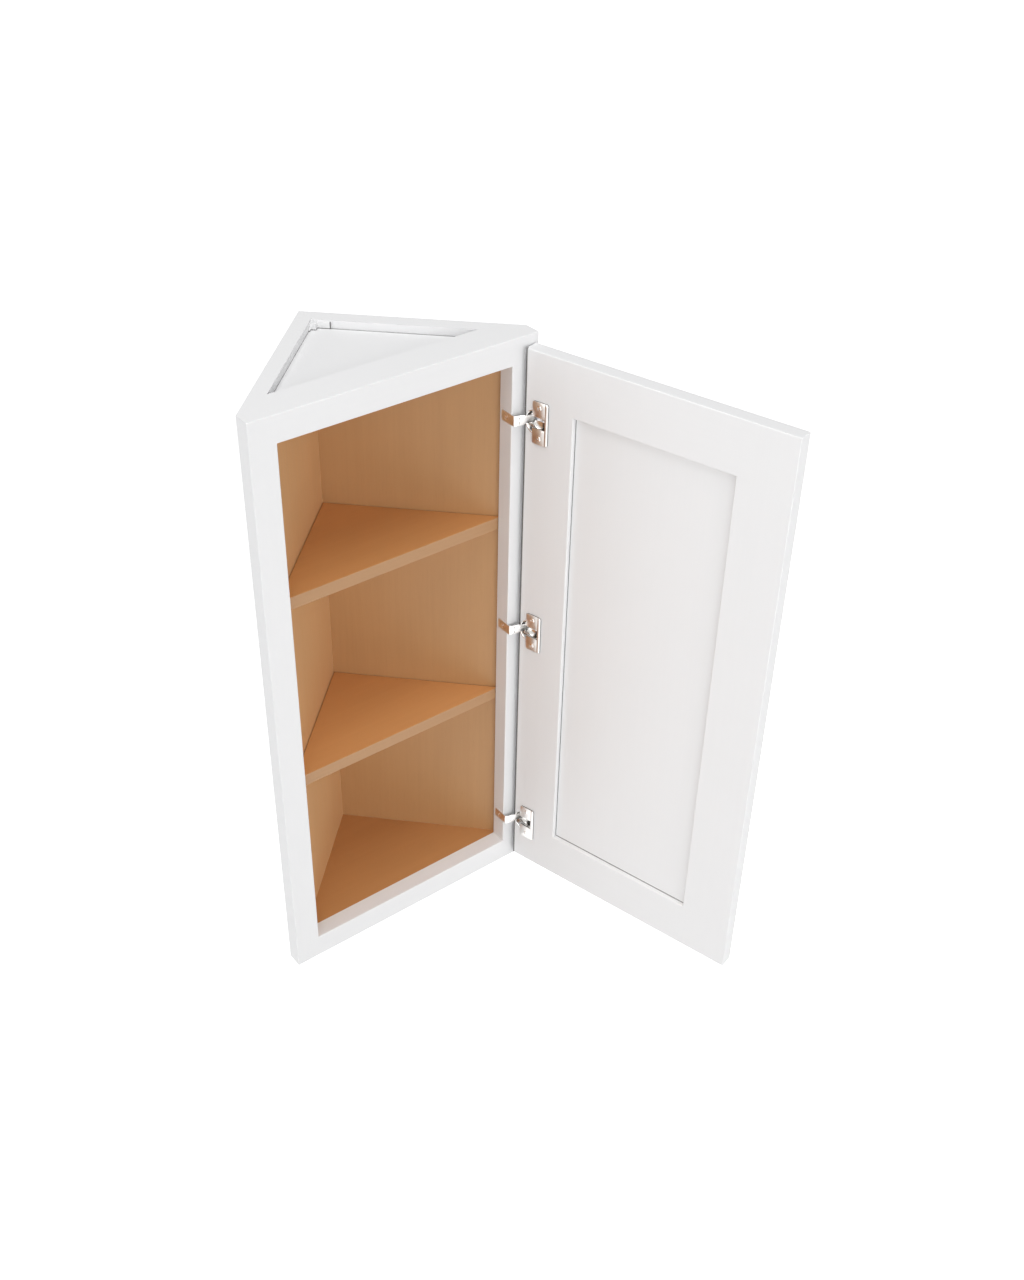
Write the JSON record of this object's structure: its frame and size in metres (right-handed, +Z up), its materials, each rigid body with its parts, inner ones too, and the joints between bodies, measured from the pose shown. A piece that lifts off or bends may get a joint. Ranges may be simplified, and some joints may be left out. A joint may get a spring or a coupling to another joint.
{
  "type": "angled end wall cabinet",
  "caption": "White angled end wall cabinet with a face frame, a flat-panel door swung open on cup hinges and loose triangular shelves in a natural wood interior.",
  "frame": {"origin": "middle of the back panel's wall face", "axes": "+Y into the wall, +Z up, +X along the wall to the right as seen from the room"},
  "size_m": [0.6612, 0.3221, 0.9144],
  "materials": {
    "painted_wood": "satin white paint",
    "natural_wood": "clear satin lacquer",
    "white_plastic": "matte",
    "plated_steel": "bright nickel plate",
    "spring_steel": "bright"
  },
  "bodies": {
    "carcass": {"side_panel": "painted_wood", "back_panel": "painted_wood", "top_panel": "painted_wood", "bottom_panel": "natural_wood", "top_cleat": "painted_wood", "latch_stile": "painted_wood", "hinge_stile": "painted_wood", "top_rail": "painted_wood", "bottom_rail": "painted_wood", "top_corner_bracket": "white_plastic", "bottom_corner_bracket": "white_plastic", "upper_shelf_pegs": "plated_steel", "lower_shelf_pegs": "plated_steel", "upper_hinge_arm": "plated_steel", "middle_hinge_arm": "plated_steel", "lower_hinge_arm": "plated_steel"},
    "door": {"door_hinge_stile": "painted_wood", "door_latch_stile": "painted_wood", "door_top_rail": "painted_wood", "door_bottom_rail": "painted_wood", "door_panel": "painted_wood", "upper_hinge_cup": "plated_steel", "middle_hinge_cup": "plated_steel", "lower_hinge_cup": "plated_steel", "upper_hinge_pin": "plated_steel", "middle_hinge_pin": "plated_steel", "lower_hinge_pin": "plated_steel", "upper_hinge_spring": "spring_steel", "middle_hinge_spring": "spring_steel", "lower_hinge_spring": "spring_steel"},
    "upper_board": {"upper_shelf": "natural_wood"},
    "lower_board": {"lower_shelf": "natural_wood"}
  },
  "joints": [
    {"name": "door_swing", "type": "hinge", "parent": "carcass", "child": "door", "pos_m": [0.16651, -0.03671, 0], "axis": [0, 0, 1], "range_deg": [-105, 0]},
    {"name": "upper_shelf_lift", "type": "slide", "parent": "carcass", "child": "upper_board", "axis": [0, 0, 1], "range_m": [0, 0.246]},
    {"name": "lower_shelf_lift", "type": "slide", "parent": "carcass", "child": "lower_board", "axis": [0, 0, 1], "range_m": [0, 0.276]}
  ]
}
